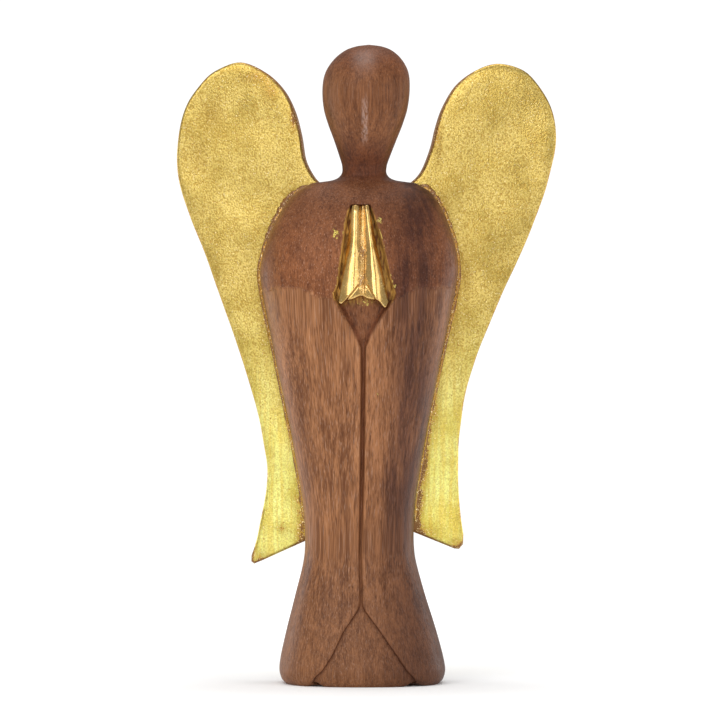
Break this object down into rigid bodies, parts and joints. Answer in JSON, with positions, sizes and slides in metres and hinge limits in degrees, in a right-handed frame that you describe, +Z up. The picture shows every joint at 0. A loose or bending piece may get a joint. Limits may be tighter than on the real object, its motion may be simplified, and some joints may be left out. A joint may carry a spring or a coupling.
{
  "type": "carved angel figurine",
  "caption": "Free-standing carved wooden angel with gilded wings and gilded praying hands, for display on a shelf or table.",
  "frame": {"origin": "on the flat base face, under the axis of the robe", "axes": "+Z up towards the crown, -Y towards the front, where the hands are, +X towards the wing on the viewer's right"},
  "size_m": [0.1203, 0.0425, 0.2],
  "materials": {
    "carved_wood": "oiled brown hardwood, sanded, soft sheen",
    "gilded_wood": "gold leaf over wood, fine grained, rubbed brown at the edges",
    "dowel_wood": "plain turned dowel"
  },
  "bodies": {
    "root": {"body": "carved_wood", "left_wing": "gilded_wood", "right_wing": "gilded_wood", "praying_hands": "gilded_wood", "left_wing_upper_dowel": "dowel_wood", "left_wing_lower_dowel": "dowel_wood", "right_wing_upper_dowel": "dowel_wood", "right_wing_lower_dowel": "dowel_wood", "hands_peg": "dowel_wood"}
  },
  "joints": []
}
